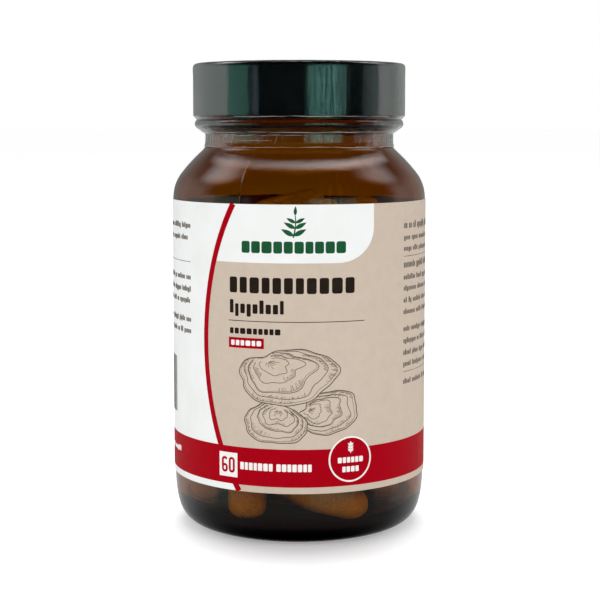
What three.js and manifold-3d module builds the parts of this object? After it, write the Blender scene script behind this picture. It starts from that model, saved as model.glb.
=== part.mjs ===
// A sealed amber glass bottle of capsules, 103 mm tall: the glass bottle, its black screw cap and liner,
// the clear shrink band over cap and neck, the wrap-around label, and the capsules lying inside.
// Millimetres, +Z up. The origin is the centre of the base, and the label's front faces -Y.
import * as THREE from "three";
import { mergeVertices } from "three/addons/utils/BufferGeometryUtils.js";
import Module from "manifold-3d";

const wasm = await Module();
wasm.setup();

// Every turned piece has the same facets at the same angles, so that nested pieces keep even gaps.
const FACETS = 24;

// Bottle: body, heel and base
const BODY_R = 28.3;
const WALL = 2.3;
const HEEL_H = 18.2;
const HEEL_FOOT_R = 19.1;
const HEEL_POWER = 3.9;
const FOOT_INNER_R = 16.5;
const PUSH_UP = 1.8;
const FLOOR_Z = 3.2;
const FLOOR_CROWN = 1.2;
const INNER_R = BODY_R - WALL;
const INNER_HEEL_R = 4.6;

// Bottle: shoulder and neck
const SHOULDER_Z = 73.3;
const SHOULDER_R = 9;
const SHOULDER_ANGLE = THREE.MathUtils.degToRad(42);
const NECK_R = 20.8;
const NECK_FILLET = 3;
const BEAD_R = 23.1;
const BEAD_ROUND = 1.15;
const BEAD_TOP_Z = 90.9;
const BEAD_FILLET = 0.8;

// Bottle: threaded finish
const FINISH_R = 21.05;
const LIP_Z = 100.8;
const LIP_ROUND = 0.9;
const THREAD_PITCH = 4.23;
const THREAD_ROUND = 1.05;
const THREAD_TURNS = 1.1;
const THREAD_RUN_OUT = 0.08;
const THREAD_LOW_Z = 94.6;

// Cap and liner
const CAP_R = 23.6;
const CAP_WALL = 0.85;
const CAP_LOW_Z = 91.5;
const CAP_TOP_Z = 102.9;
const CAP_TOP_THICK = 1.2;
const CAP_EDGE_ROUND = 0.7;
const LINER_R = 21.4;
const LINER_GAP = 0.05;

// Shrink band
const FILM = 0.08;
const FILM_GAP = 0.05;
const FILM_LIP_R = 18.6;
const FILM_NECK_Z = 87.5;
const FILM_HEM_ANGLE = THREE.MathUtils.degToRad(26);

// Label
const LABEL_LOW_Z = 12;
const LABEL_TOP_Z = 73.1;
const LABEL_GAP = 0.04;
const PAPER = 0.12;
const SEAM_WIDTH = 3.2;
const SEAM_ANGLE = THREE.MathUtils.degToRad(81.5);

// Capsules, size 00
const CAPSULE_COUNT = 55;
const CAPSULE_L = 23.4;
const CAPSULE_CAP_R = 4.265;
const CAPSULE_BODY_R = 4.09;
const CAPSULE_BODY_L = 11.8;
const CAPSULE_FACETS = 8;
const CAPSULE_GAP = 0.3;
const FRONT_CAPSULES = [
  { at: [-10.2, -18.8, 15.3], towards: [0.04, 0.1, 1] },
  { at: [2.8, -17.6, 9.8], towards: [-1, 0.25, 0.3] },
  { at: [18.2, -8.6, 19.5], towards: [0.1, 0.1, 1] },
];
const FRONT_ROUNDS = 200;

// The slope that the poured capsules rest on behind the front ones, over a hollow: its foot and its top
const SLOPE_FOOT = [-8, 4];
const SLOPE_TOP = [-22.7, 22];

// Capsule heap: how it is poured and settled
const POUR_SEED = 1;
const POUR_R = 16;
const POUR_LOW_Z = 22;
const POUR_STEP_Z = 6;
const SETTLE_STEPS = 4000;
const SETTLE_DROP = 0.35;
const SETTLE_CREEP = 0.01;
const LAST_OVERLAP = 0.02;

const amberGlass = { color: 0x5a2a08, roughness: 0.05, metalness: 0 };
const blackPlastic = { color: 0x101413, roughness: 0.15, metalness: 0 };
const linerFoam = { color: 0xe9e6df, roughness: 0.8, metalness: 0 };
const clearFilm = { color: 0xe6ecec, roughness: 0.1, metalness: 0 };
const labelPaper = { color: 0xc9b9a8, roughness: 0.45, metalness: 0 };
const capsuleShell = { color: 0x8f6238, roughness: 0.3, metalness: 0 };

const object = new THREE.Group();

function addPiece(name, geometry, finish) {
  const piece = new THREE.Mesh(geometry, new THREE.MeshStandardMaterial(finish));
  piece.name = name;
  object.add(piece);
  return piece;
}

// ---- profiles, turned pieces and booleans ----

// Points on an arc in the profile plane. Angles run from the outward radius towards +Z.
function arc(centreR, centreZ, radius, from, to, steps) {
  const points = [];
  for (let i = 0; i <= steps; i++) {
    const angle = from + ((to - from) * i) / steps;
    points.push([centreR + radius * Math.cos(angle), centreZ + radius * Math.sin(angle)]);
  }
  return points;
}

function turned(profile, facets = FACETS) {
  const points = profile.map(([r, z]) => new THREE.Vector2(Math.max(r, 0), z));
  return new THREE.LatheGeometry(points, facets).rotateX(Math.PI / 2);
}

function solid(geometry) {
  const bare = geometry.clone();
  bare.deleteAttribute("normal");
  bare.deleteAttribute("uv");
  const merged = mergeVertices(bare, 1e-4);
  const mesh = new wasm.Mesh({
    numProp: 3,
    vertProperties: new Float32Array(merged.attributes.position.array),
    triVerts: new Uint32Array(merged.index.array),
  });
  return new wasm.Manifold(mesh);
}

function geometryOf(manifold) {
  const mesh = manifold.getMesh();
  const geometry = new THREE.BufferGeometry();
  geometry.setAttribute("position", new THREE.BufferAttribute(mesh.vertProperties, 3));
  geometry.setIndex(new THREE.BufferAttribute(mesh.triVerts, 1));
  geometry.computeVertexNormals();
  return geometry;
}

// ---- threads ----

// A right-handed helix. Over its two ends the radius changes by sink, so that the thread runs out.
class ThreadPath extends THREE.Curve {
  constructor(radius, sink, lowZ) {
    super();
    this.radius = radius;
    this.sink = sink;
    this.lowZ = lowZ;
  }
  getPoint(t) {
    const fade = Math.max(0, 1 - Math.min(t, 1 - t) / THREAD_RUN_OUT);
    const radius = this.radius + this.sink * fade;
    const angle = 2 * Math.PI * THREAD_TURNS * t;
    const height = this.lowZ + THREAD_PITCH * THREAD_TURNS * t;
    return new THREE.Vector3(radius * Math.cos(angle), radius * Math.sin(angle), height);
  }
}

function thread(path) {
  const section = new THREE.Shape();
  section.absarc(0, 0, THREAD_ROUND, 0, 2 * Math.PI);
  return new THREE.ExtrudeGeometry(section, { steps: 24, curveSegments: 3, extrudePath: path });
}

// ---- bottle ----

// The shoulder from the body wall up to the neck: an arc, a straight cone and a hollow fillet.
// The inset moves the whole outline inwards, for the inner wall, or outwards when it is negative.
function shoulderOutline(inset) {
  const arcCentreR = BODY_R - SHOULDER_R;
  const filletCentreR = NECK_R + NECK_FILLET;
  const bothRadii = SHOULDER_R + NECK_FILLET;
  const coneRun = arcCentreR + bothRadii * Math.cos(SHOULDER_ANGLE) - filletCentreR;
  const coneLength = coneRun / Math.sin(SHOULDER_ANGLE);
  const rise = bothRadii * Math.sin(SHOULDER_ANGLE) + coneLength * Math.cos(SHOULDER_ANGLE);
  return [
    ...arc(arcCentreR, SHOULDER_Z, SHOULDER_R - inset, 0, SHOULDER_ANGLE, 3),
    ...neckFillet(filletCentreR, SHOULDER_Z + rise, NECK_FILLET + inset, 2),
  ];
}

function neckFillet(centreR, centreZ, radius, steps) {
  return arc(centreR, centreZ, radius, Math.PI + SHOULDER_ANGLE, Math.PI, steps);
}

// A quarter of a superellipse, from the flat foot out to the body wall.
function heelOutline(steps) {
  const points = [];
  for (let i = 0; i <= steps; i++) {
    const angle = (Math.PI / 2) * (1 - i / steps);
    const out = Math.cos(angle) ** (2 / HEEL_POWER);
    const down = Math.sin(angle) ** (2 / HEEL_POWER);
    points.push([HEEL_FOOT_R + (BODY_R - HEEL_FOOT_R) * out, HEEL_H * (1 - down)]);
  }
  return points;
}

function beadOutline() {
  const beadZ = BEAD_TOP_Z - BEAD_ROUND;
  const filletZ = beadZ - BEAD_ROUND - BEAD_FILLET;
  return [
    ...arc(NECK_R + BEAD_FILLET, filletZ, BEAD_FILLET, Math.PI, Math.PI / 2, 1),
    ...arc(BEAD_R - BEAD_ROUND, beadZ, BEAD_ROUND, -Math.PI / 2, Math.PI / 2, 4).slice(1),
  ];
}

function bottle() {
  const up = Math.PI / 2;
  const pushUpR = (FOOT_INNER_R ** 2 + PUSH_UP ** 2) / (2 * PUSH_UP);
  const pushUpAngle = Math.asin(FOOT_INNER_R / pushUpR);
  const boreR = NECK_R - WALL;
  const floorR = INNER_R - INNER_HEEL_R;
  const profile = [
    ...arc(0, PUSH_UP - pushUpR, pushUpR, up, up - pushUpAngle, 2),
    ...heelOutline(6),
    ...shoulderOutline(0),
    ...beadOutline(),
    [FINISH_R, BEAD_TOP_Z],
    ...arc(FINISH_R - LIP_ROUND, LIP_Z - LIP_ROUND, LIP_ROUND, 0, up, 1),
    ...arc(boreR + LIP_ROUND, LIP_Z - LIP_ROUND, LIP_ROUND, up, 2 * up, 1),
    ...shoulderOutline(WALL).reverse(),
    ...arc(floorR, FLOOR_Z + INNER_HEEL_R, INNER_HEEL_R, 0, -up, 3),
    [0, FLOOR_Z + FLOOR_CROWN],
  ];
  const path = new ThreadPath(FINISH_R, -THREAD_ROUND, THREAD_LOW_Z);
  return geometryOf(solid(turned(profile)).add(solid(thread(path))));
}

// ---- cap and liner ----

function screwCap() {
  const boreR = CAP_R - CAP_WALL;
  const middleR = CAP_R - CAP_WALL / 2;
  const roofZ = CAP_TOP_Z - CAP_TOP_THICK;
  const cornerR = CAP_R - CAP_EDGE_ROUND;
  const shell = [
    [0, roofZ],
    [boreR, roofZ],
    [boreR, CAP_LOW_Z],
    [CAP_R, CAP_LOW_Z],
    ...arc(cornerR, CAP_TOP_Z - CAP_EDGE_ROUND, CAP_EDGE_ROUND, 0, Math.PI / 2, 2),
    [0, CAP_TOP_Z],
  ];
  const core = [[0, CAP_LOW_Z], [middleR, CAP_LOW_Z], [middleR, CAP_TOP_Z], [0, CAP_TOP_Z]];
  const path = new ThreadPath(boreR, THREAD_ROUND, THREAD_LOW_Z - THREAD_PITCH / 2);
  const threadInside = solid(thread(path)).intersect(solid(turned(core)));
  return geometryOf(solid(turned(shell)).add(threadInside));
}

function capLiner() {
  const lowZ = LIP_Z + LINER_GAP;
  const topZ = CAP_TOP_Z - CAP_TOP_THICK - LINER_GAP;
  return turned([[0, lowZ], [LINER_R, lowZ], [LINER_R, topZ], [0, topZ]]);
}

// ---- shrink band ----

// One face of the film, from its rim on the cap's top, down the cap and over the bead to the neck.
function filmOutline(offset) {
  const cornerR = CAP_R - CAP_EDGE_ROUND;
  const cornerZ = CAP_TOP_Z - CAP_EDGE_ROUND;
  const beadZ = BEAD_TOP_Z - BEAD_ROUND;
  const neckR = NECK_R + offset;
  const filletCentreR = NECK_R + NECK_FILLET;
  const filletZ = shoulderOutline(0).at(-1)[1];
  const hemAngle = Math.PI + FILM_HEM_ANGLE;
  return [
    [FILM_LIP_R, CAP_TOP_Z + offset],
    ...arc(cornerR, cornerZ, CAP_EDGE_ROUND + offset, Math.PI / 2, 0, 2),
    [CAP_R + offset, CAP_LOW_Z],
    ...arc(BEAD_R - BEAD_ROUND, beadZ, BEAD_ROUND + offset, Math.PI / 4, -Math.PI / 4, 2),
    [neckR, FILM_NECK_Z],
    ...arc(filletCentreR, filletZ, NECK_FILLET - offset, Math.PI, hemAngle, 2),
  ];
}

function shrinkBand() {
  const inner = filmOutline(FILM_GAP);
  const outer = filmOutline(FILM_GAP + FILM);
  return turned([...inner, ...outer.reverse(), inner[0]]);
}

// ---- label ----

function label() {
  const innerR = BODY_R + LABEL_GAP;
  const outerR = innerR + PAPER;
  const ring = turned([
    [innerR, LABEL_LOW_Z],
    [outerR, LABEL_LOW_Z],
    [outerR, LABEL_TOP_Z],
    [innerR, LABEL_TOP_Z],
    [innerR, LABEL_LOW_Z],
  ]);
  const seam = new THREE.BoxGeometry(2, SEAM_WIDTH, 2 * LABEL_TOP_Z)
    .translate(BODY_R, 0, 0)
    .rotateZ(SEAM_ANGLE);
  return geometryOf(solid(ring).subtract(solid(seam)));
}

// ---- capsules ----

// One two-part capsule along Z: the wider cap half overlaps the body half, with a round dome each end.
function capsule() {
  const half = CAPSULE_L / 2;
  const up = Math.PI / 2;
  const bodyDome = arc(0, CAPSULE_BODY_R - half, CAPSULE_BODY_R, -up, 0, 2);
  const capDome = arc(0, half - CAPSULE_CAP_R, CAPSULE_CAP_R, 0, up, 2);
  const stepZ = CAPSULE_BODY_L - half;
  return turned(
    [...bodyDome, [CAPSULE_BODY_R, stepZ], [CAPSULE_CAP_R, stepZ], ...capDome],
    CAPSULE_FACETS,
  );
}

// While the heap settles, a capsule is a rod with round ends: a middle, an axis and a half length.
const ROD_R = CAPSULE_CAP_R + CAPSULE_GAP / 2;
const ROD_HALF = CAPSULE_L / 2 - CAPSULE_CAP_R;
const ROD_TURN = CAPSULE_L ** 2 / 12;
const HEAP_R = INNER_R * Math.cos(Math.PI / FACETS);
const SLOPE_NORMAL = new THREE.Vector3(
  0,
  SLOPE_TOP[1] - SLOPE_FOOT[1],
  SLOPE_FOOT[0] - SLOPE_TOP[0],
).normalize();

// Repeatable random numbers from 0 to 1, by the mulberry32 generator.
function randomFrom(seed) {
  let state = seed;
  return () => {
    state = (state + 0x6d2b79f5) | 0;
    let mixed = Math.imul(state ^ (state >>> 15), 1 | state);
    mixed = (mixed + Math.imul(mixed ^ (mixed >>> 7), 61 | mixed)) ^ mixed;
    return ((mixed ^ (mixed >>> 14)) >>> 0) / 2 ** 32;
  };
}

// Moves the point at a distance along the rod by about the amount, as a shift and a turn.
function push(rod, along, direction, amount) {
  rod.middle.addScaledVector(direction, amount);
  rod.axis.addScaledVector(direction, (amount * along) / ROD_TURN).normalize();
}

function ease(along) {
  return 1 + along ** 2 / ROD_TURN;
}

// Parts two rods where they overlap, and says by how much they did.
function separate(a, b) {
  const between = a.middle.clone().sub(b.middle);
  if (between.length() > 2 * (ROD_HALF + ROD_R)) return 0;
  const limit = (value) => THREE.MathUtils.clamp(value, -ROD_HALF, ROD_HALF);
  const cosine = a.axis.dot(b.axis);
  const alongA = a.axis.dot(between);
  const alongB = b.axis.dot(between);
  const skew = 1 - cosine ** 2;
  const first = skew > 1e-4 ? (cosine * alongB - alongA) / skew : -alongA / 2;
  const onB = limit(cosine * limit(first) + alongB);
  const onA = limit(cosine * onB - alongA);
  between.addScaledVector(a.axis, onA).addScaledVector(b.axis, -onB);
  const overlap = 2 * ROD_R - between.length();
  if (overlap <= 0) return 0;
  between.normalize();
  const easeA = a.placed ? 0 : ease(onA);
  const easeB = b.placed ? 0 : ease(onB);
  const amount = overlap / (easeA + easeB || 1);
  if (!a.placed) push(a, onA, between, amount);
  if (!b.placed) push(b, onB, between, -amount);
  return overlap;
}

// Keeps five points of a rod inside the bottle: over its floor, clear of its heel and its wall. A poured
// capsule also stays over the slope behind the front ones.
function contain(rod) {
  const floorR = HEAP_R - INNER_HEEL_R;
  const heelZ = FLOOR_Z + INNER_HEEL_R;
  let worst = 0;
  for (const share of [-1, -0.5, 0, 0.5, 1]) {
    const along = share * ROD_HALF;
    const point = rod.middle.clone().addScaledVector(rod.axis, along);
    const radius = Math.hypot(point.x, point.y) || 1;
    const inwards = new THREE.Vector3(-point.x / radius, -point.y / radius, 0);
    let over = radius + ROD_R - HEAP_R;
    if (radius > floorR && point.z < heelZ) {
      inwards.multiplyScalar(radius - floorR).setZ(heelZ - point.z);
      over = inwards.length() + ROD_R - INNER_HEEL_R;
      inwards.normalize();
    }
    const crown = FLOOR_CROWN * Math.max(0, 1 - radius / floorR);
    const under = FLOOR_Z + crown + ROD_R - point.z;
    if (over > 0) push(rod, along, inwards, over / ease(along));
    if (under > 0) push(rod, along, new THREE.Vector3(0, 0, 1), under / ease(along));
    const [backY, backZ] = [point.y - SLOPE_FOOT[0], point.z - SLOPE_FOOT[1]];
    const sunk = rod.front ? 0 : ROD_R - (backY * SLOPE_NORMAL.y + backZ * SLOPE_NORMAL.z);
    if (sunk > 0) push(rod, along, SLOPE_NORMAL, sunk / ease(along));
    worst = Math.max(worst, over, under);
  }
  return worst;
}

// One round of settling. Returns the largest overlap that it found.
function settle(rods, drop) {
  let worst = 0;
  rods.forEach((rod, i) => {
    if (!rod.placed) rod.middle.z -= drop;
    for (const other of rods.slice(0, i)) worst = Math.max(worst, separate(rod, other));
  });
  for (const rod of rods) {
    if (!rod.placed) worst = Math.max(worst, contain(rod));
  }
  return worst;
}

// The capsules that came to rest first, against the front of the bottle, and the ones poured on them.
function heap() {
  const random = randomFrom(POUR_SEED);
  const rods = FRONT_CAPSULES.map(({ at, towards }) => ({
    middle: new THREE.Vector3(...at),
    axis: new THREE.Vector3(...towards).normalize(),
    front: true,
  }));
  for (let i = 0; i < FRONT_ROUNDS; i++) settle(rods, 0);
  for (const rod of rods) rod.placed = true;
  while (rods.length < CAPSULE_COUNT) {
    const around = 2 * Math.PI * random();
    const out = POUR_R * Math.sqrt(random());
    const turn = 2 * Math.PI * random();
    const lean = Math.acos(0.9 * random());
    const height = POUR_LOW_Z + POUR_STEP_Z * rods.length;
    rods.push({
      middle: new THREE.Vector3(out * Math.cos(around), out * Math.sin(around), height),
      axis: new THREE.Vector3().setFromSphericalCoords(1, lean, turn),
    });
  }
  for (let i = 0; i < SETTLE_STEPS; i++) {
    settle(rods, SETTLE_DROP * (1 - i / SETTLE_STEPS) + SETTLE_CREEP);
  }
  while (settle(rods, 0) > LAST_OVERLAP);
  return rods;
}

addPiece("bottle", bottle(), amberGlass);
addPiece("screw_cap", screwCap(), blackPlastic);
addPiece("cap_liner", capLiner(), linerFoam);
addPiece("shrink_band", shrinkBand(), clearFilm);
addPiece("label", label(), labelPaper);
const upwards = new THREE.Vector3(0, 0, 1);
heap().forEach((rod, i) => {
  const piece = addPiece(`capsule_${String(i + 1).padStart(2, "0")}`, capsule(), capsuleShell);
  piece.position.copy(rod.middle);
  piece.quaternion.setFromUnitVectors(upwards, rod.axis);
});

export default object;
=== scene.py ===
import math
import random

import bmesh
import bpy
import numpy as np
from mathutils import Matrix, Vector, noise


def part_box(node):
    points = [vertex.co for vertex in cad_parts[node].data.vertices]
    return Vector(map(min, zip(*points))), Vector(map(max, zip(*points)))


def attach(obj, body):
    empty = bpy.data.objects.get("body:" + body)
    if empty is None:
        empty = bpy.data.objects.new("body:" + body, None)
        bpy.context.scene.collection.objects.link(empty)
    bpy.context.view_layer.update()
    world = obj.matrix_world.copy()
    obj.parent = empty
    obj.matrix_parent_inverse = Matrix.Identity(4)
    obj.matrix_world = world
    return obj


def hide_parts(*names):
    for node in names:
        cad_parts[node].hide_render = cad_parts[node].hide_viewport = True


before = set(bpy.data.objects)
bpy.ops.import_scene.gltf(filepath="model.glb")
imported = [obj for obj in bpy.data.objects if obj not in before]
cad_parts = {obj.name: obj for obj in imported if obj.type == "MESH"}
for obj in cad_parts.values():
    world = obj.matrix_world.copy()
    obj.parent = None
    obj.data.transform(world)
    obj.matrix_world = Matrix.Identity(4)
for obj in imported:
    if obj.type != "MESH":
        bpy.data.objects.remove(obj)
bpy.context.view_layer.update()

MM = 0.001
WHITE = (1, 1, 1, 1)
SHARP_ANGLE = 40


def node_top(node):
    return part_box(node)[1].z / MM


def node_bottom(node):
    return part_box(node)[0].z / MM


def node_radius(node):
    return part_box(node)[1].x / MM


# Bottle
BODY_R = node_radius("bottle")
LIP_Z = node_top("bottle")
WALL = 2.3
HEEL_H = 18.2
HEEL_FOOT_R = 19.1
HEEL_POWER = 3.9
FOOT_INNER_R = 16.5
PUSH_UP = 1.8
FLOOR_Z = 3.2
FLOOR_CROWN = 1.2
INNER_HEEL_R = 4.6
SHOULDER_Z = 73.3
SHOULDER_R = 9.0
SHOULDER_ANGLE = 38.0
SLOPE_R = 38.0
NECK_R = 20.8
NECK_FILLET = 3.0
BEAD_R = 23.1
BEAD_ROUND = 1.15
BEAD_TOP_Z = 90.9
BEAD_FILLET = 0.8
FINISH_R = 21.05
LIP_ROUND = 0.9
SEAM_ANGLES = (-26.0, 154.0)
BASE_SEAM_Z = 3.8
SEAM_H, SEAM_WIDTH = 0.07, 0.28
BASE_SEAM_H, BASE_SEAM_WIDTH = 0.05, 0.2
UNEVEN = ((14, 0.16), (5, 0.05))
RIPPLE_ANGLE = 157.0
RIPPLE_H, RIPPLE_RATE = 0.3, 75
RIPPLE_SWEEP, RIPPLE_TALL = 9, 6

# Cap and shrink band
CAP_R = node_radius("screw_cap")
CAP_LOW_Z = node_bottom("screw_cap")
CAP_TOP_Z = node_top("screw_cap")
CAP_WALL = 0.85
CAP_ROOF = 1.2
CAP_EDGE_ROUND = 0.7
CAP_LIP_ROUND = 0.25
CAP_BORE_ROUND = 0.3
LINER_ROUND = 0.15
FILM = 0.06
FILM_GAP = 0.05
FILM_LIP_R = 18.6
FILM_HEM_ANGLE = 26.0
FILM_NECK_Z = 87.5
FILM_PLEAT_REACH = 5
FILM_ROLL_DROP, FILM_ROLL_WIDTH, FILM_ROLL_H = 1.2, 0.5, 0.09
CREASE_SIDES = 5

# Label
LABEL_R = node_radius("label")
LABEL_LOW_Z = node_bottom("label")
LABEL_TOP_Z = node_top("label")
PAPER = 0.12
GAP_ANGLE = 171.5
GAP_WIDTH = 3.2
INK = 0.012
PRINT_STEP = math.radians(1.5)

# Capsules
CAPSULE_L = 23.4
CAPSULE_CAP_R = 4.265
CAPSULE_BODY_R = 4.09
CAPSULE_BODY_L = 11.8
CAPSULE_TOTAL = 60
CAPSULE_GAP = 0.2
CAPSULE_RIM = 0.1
LOCK_RING_UP, LOCK_RING_HALF, LOCK_RING_DEPTH = 2.4, 0.5, 0.07
WALL_LIGHT_R = (16.5, 19.5)
TOP_LIGHT_Z = (35, 55)

# Stage
FLOOR_R = 30000
FLOOR_DROP = 0.02
FLOOR_GLOW = (0.25, 0.6)
SHADOW_SHAPE = (1.15, 0.9, 0)
SHADOW_SHIFT = (0, 5.4, 0)
SHADOW_R = (20, 36)
SHADE_R = 60
SHADE_DROP = 0.1
GROUND_LIGHT = 0.22
TABLE_LIGHT = 0.24


# ---- colours and materials

def tint(code):
    """A linear colour from a six-digit sRGB code."""
    parts = [int(code[i:i + 2], 16) / 255 for i in (0, 2, 4)]
    linear = [c / 12.92 if c <= 0.04045 else ((c + 0.055) / 1.055) ** 2.4 for c in parts]
    return (*linear, 1.0)


class Nodes:
    """Adds nodes to a shader. An input is a plain value or another node's output."""

    def __init__(self, tree):
        self.nodes, self.link = tree.nodes, tree.links.new

    def node(self, kind, output, inputs, **settings):
        """A new node, set up and fed by input name or number. Gives back one of its outputs."""
        node = self.nodes.new("ShaderNode" + kind)
        for name, value in settings.items():
            setattr(node, name, value)
        for key, value in inputs.items():
            if isinstance(value, bpy.types.NodeSocket):
                self.link(value, node.inputs[key])
            else:
                node.inputs[key].default_value = value
        return node.outputs[output] if output is not None else None

    def math(self, operation, first, second=0.0):
        return self.node("Math", "Value", {0: first, 1: second}, operation=operation)

    def product(self, first, *others):
        for other in others:
            first = self.math("MULTIPLY", first, other)
        return first

    def vector(self, operation, *terms):
        return self.node("VectorMath", "Vector", dict(enumerate(terms)), operation=operation)

    def length(self, vector):
        return self.node("VectorMath", "Value", {0: vector}, operation="LENGTH")

    def fade(self, value, start, end):
        """0 at the start, 1 at the end and smooth in between."""
        limits = {"Value": value, "From Min": start, "From Max": end}
        return self.node("MapRange", "Result", limits, interpolation_type="SMOOTHSTEP")

    def scaled(self, value, old, new):
        """Maps the old range of numbers evenly on to the new one."""
        limits = {"Value": value, "From Min": old[0], "From Max": old[1], "To Min": new[0], "To Max": new[1]}
        return self.node("MapRange", "Result", limits)

    def mix(self, factor, first, second):
        """A blend of two colours. The Mix node's colours are its inputs 6 and 7 and its output 2."""
        return self.node("Mix", 2, {"Factor": factor, 6: first, 7: second}, data_type="RGBA")

    def ramp(self, factor, stops):
        """A colour ramp from (position, colour) stops."""
        output = self.node("ValToRGB", "Color", {"Fac": factor})
        elements = output.node.color_ramp.elements
        while len(elements) < len(stops):
            elements.new(0.5)
        for element, (position, colour) in zip(elements, stops):
            element.position = position
            element.color = colour
        return output


# Noise mostly stays between these two values.
NOISE_RANGE = (0.3, 0.7)


class Look(Nodes):
    """A node material built round one Principled shader, with patterns in object coordinates."""

    def __init__(self, name, **sockets):
        self.material = bpy.data.materials.new(name)
        self.material.use_nodes = True
        super().__init__(self.material.node_tree)
        self.shader = self.nodes["Principled BSDF"].inputs
        self.place = self.node("TexCoord", "Object", {})
        for socket, value in sockets.items():
            self.shader[socket.replace("_", " ")].default_value = value

    def noise(self, size_mm, detail=3.0, roughness=0.5, stretch=None):
        """Noise whose features are about size_mm across, optionally stretched along an axis."""
        place = self.place
        if stretch:
            place = self.node("Mapping", "Vector", {"Vector": place, "Scale": stretch})
        inputs = {"Vector": place, "Scale": 1 / (size_mm * MM), "Detail": detail, "Roughness": roughness}
        return self.node("TexNoise", "Fac", inputs)

    def colour(self, output):
        self.link(output, self.shader["Base Color"])

    def mottle(self, pattern, low, high, stops=NOISE_RANGE):
        """Colours the surface from one sRGB code to another, by the pattern."""
        self.colour(self.ramp(pattern, list(zip(stops, (tint(low), tint(high))))))

    def roughness(self, pattern, low, high):
        self.link(self.scaled(pattern, NOISE_RANGE, (low, high)), self.shader["Roughness"])

    def bump(self, height, depth_mm, below=None):
        """Raises the surface by up to depth_mm where the pattern is high."""
        inputs = {"Strength": 1.0, "Distance": depth_mm * MM, "Height": height}
        if below is not None:
            inputs["Normal"] = below
        normal = self.node("Bump", "Normal", inputs)
        self.link(normal, self.shader["Normal"])
        return normal


def amber_glass():
    """Amber container glass: clear, with the colour taken out of the light on its way through."""
    look = Look("amber_glass", Transmission_Weight=1.0, IOR=1.52, Roughness=0.0, Base_Color=WHITE)
    broad = look.bump(look.noise(11, detail=3, roughness=0.55), 0.06)
    look.bump(look.noise(2.5, detail=2), 0.006, below=broad)
    amber = {"Color": (0.852, 0.66, 0.03, 1), "Density": 1450}
    look.link(look.node("VolumeAbsorption", "Volume", amber), look.nodes["Material Output"].inputs["Volume"])
    return look.material


def shrink_film():
    """Clear shrunk film, with fine drawn lines and hazier patches."""
    look = Look("shrink_film", Transmission_Weight=1.0, IOR=1.45, Base_Color=(0.97, 0.98, 0.98, 1))
    look.roughness(look.noise(3.5, detail=4), 0.01, 0.05)
    coarse = look.bump(look.noise(5, detail=3, stretch=(1, 1, 0.5)), 0.05)
    look.bump(look.noise(0.7, detail=3, stretch=(1, 1, 0.1)), 0.012, below=coarse)
    return look.material


def film_crease_and_highlight():
    """Where the film is cut or sharply creased it turns milky and scatters the light. The pale colour is
    partly that whitening and partly painted highlight, standing in for the glints along the creases and the
    hem.
    """
    look = Look("film_crease_and_highlight", Transmission_Weight=0.35, IOR=1.45)
    look.mottle(look.noise(1.5), "b9bcba", "e4e6e4")
    look.roughness(look.noise(0.8), 0.15, 0.4)
    look.bump(look.noise(0.4), 0.01)
    return look.material


def cap_plastic():
    """Glossy black moulded plastic with a faint orange-peel surface and fine handling marks."""
    look = Look("cap_plastic", IOR=1.5)
    look.mottle(look.noise(6), "040606", "080b0b")
    look.roughness(look.noise(2.2, detail=5, roughness=0.7), 0.05, 0.11)
    look.bump(look.noise(1.4, detail=2), 0.002)
    return look.material


def liner_foam():
    look = Look("liner_foam")
    look.mottle(look.noise(0.8), "dcd8cf", "f0ede6", stops=(0.35, 0.65))
    look.roughness(look.noise(0.5), 0.65, 0.85)
    look.bump(look.noise(0.35, detail=4), 0.03)
    return look.material


def coated_paper():
    """White coated label paper: satin, with a slight mottle and a fine fibre grain."""
    look = Look("label_paper", Specular_IOR_Level=0.08)
    look.mottle(look.noise(7, detail=4), "eaecea", "f0f2f1")
    look.roughness(look.noise(1.2, detail=3), 0.38, 0.5)
    look.bump(look.noise(0.25, detail=3), 0.0025)
    return look.material


def printing_ink(name, code, darker):
    """Flat printed ink with a slight mottle and the paper's grain showing through."""
    look = Look(name, Specular_IOR_Level=0.02)
    look.mottle(look.noise(2.5, detail=5, roughness=0.65), darker, code)
    look.roughness(look.noise(1.2, detail=3), 0.36, 0.48)
    look.bump(look.noise(0.25, detail=3), 0.0025)
    return look.material


def capsule_shell():
    """A clear glossy shell over pressed brown powder: specks under a smooth coat, and painted shade deep in
    the heap.
    """
    look = Look("capsule_shell", IOR=1.5, Coat_Weight=1.0, Coat_Roughness=0.06, Coat_IOR=1.5)
    grains = look.noise(0.45, detail=6, roughness=0.75)
    powder = look.ramp(grains, [
        (0.28, tint("94804a")),
        (0.45, tint("bdae74")),
        (0.6, tint("cabf88")),
        (0.75, tint("ded6aa")),
    ])
    # Painted shade: deep in the heap, away from the wall and under the top layer, little light gets through,
    # so the powder is painted dark brown there.
    from_axis = look.length(look.vector("MULTIPLY", look.place, (1, 1, 0)))
    height = look.node("SeparateXYZ", "Z", {"Vector": look.place})
    near_wall = look.fade(from_axis, *(r * MM for r in WALL_LIGHT_R))
    near_top = look.fade(height, *(z * MM for z in TOP_LIGHT_Z))
    look.colour(look.mix(look.math("MAXIMUM", near_wall, near_top), tint("2a1c10"), powder))
    look.roughness(grains, 0.35, 0.6)
    look.bump(look.noise(0.3, detail=4), 0.01)
    return look.material


# ---- meshes

def spread(start, end, steps):
    """Evenly spaced numbers, both ends included."""
    return [start + (end - start) * i / steps for i in range(steps + 1)]


def hump(off, width):
    """A smooth hump: 1 in the middle, and falling off over about the width."""
    return math.exp(-((off / width) ** 2))


def arc(centre_r, centre_z, radius, start, end, steps):
    """Points on an arc in the profile plane. Angles run from outwards towards up, in degrees."""
    angles = [math.radians(a) for a in spread(start, end, steps)]
    return [(centre_r + radius * math.cos(a), centre_z + radius * math.sin(a)) for a in angles]


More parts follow.
